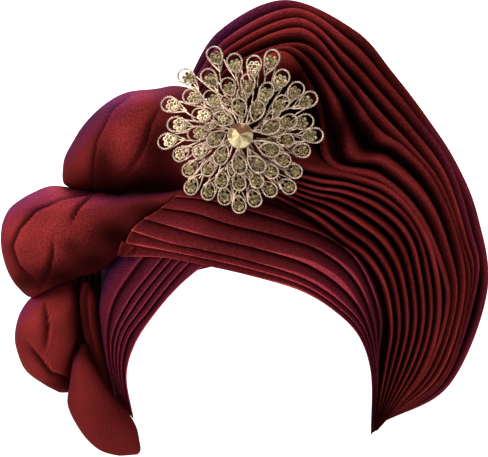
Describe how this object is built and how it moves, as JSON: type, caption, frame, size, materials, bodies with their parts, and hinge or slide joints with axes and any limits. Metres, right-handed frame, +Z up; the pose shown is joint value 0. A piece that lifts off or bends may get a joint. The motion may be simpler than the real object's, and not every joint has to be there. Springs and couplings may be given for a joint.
{
  "type": "gele head tie",
  "caption": "Ready-tied gele head wrap in worn form: pleated fan and brow band, rolled puffs at one side, fitted cap and a large openwork stone brooch.",
  "frame": {"origin": "where the crown of the head touches the inside of the cap", "axes": "+Z up, the face opening looks along -Y, +X towards the fan's side, the viewer's right"},
  "size_m": [0.3216, 0.2045, 0.3019],
  "materials": {
    "taffeta": "slubbed shot taffeta, burgundy with a violet sheen",
    "gilt_metal": "pale champagne gilt, beaded edges",
    "crystal": "cut champagne crystal with a foiled back"
  },
  "bodies": {
    "root": {"cap": "taffeta", "brow_band": "taffeta", "temple_wrap": "taffeta", "fan": "taffeta", "puff_top": "taffeta", "puff_side": "taffeta", "puff_low": "taffeta", "puff_tail": "taffeta", "tuck_fold": "taffeta", "brooch": "gilt_metal", "centre_stone": "crystal", "brooch_pin": "gilt_metal"}
  },
  "joints": []
}
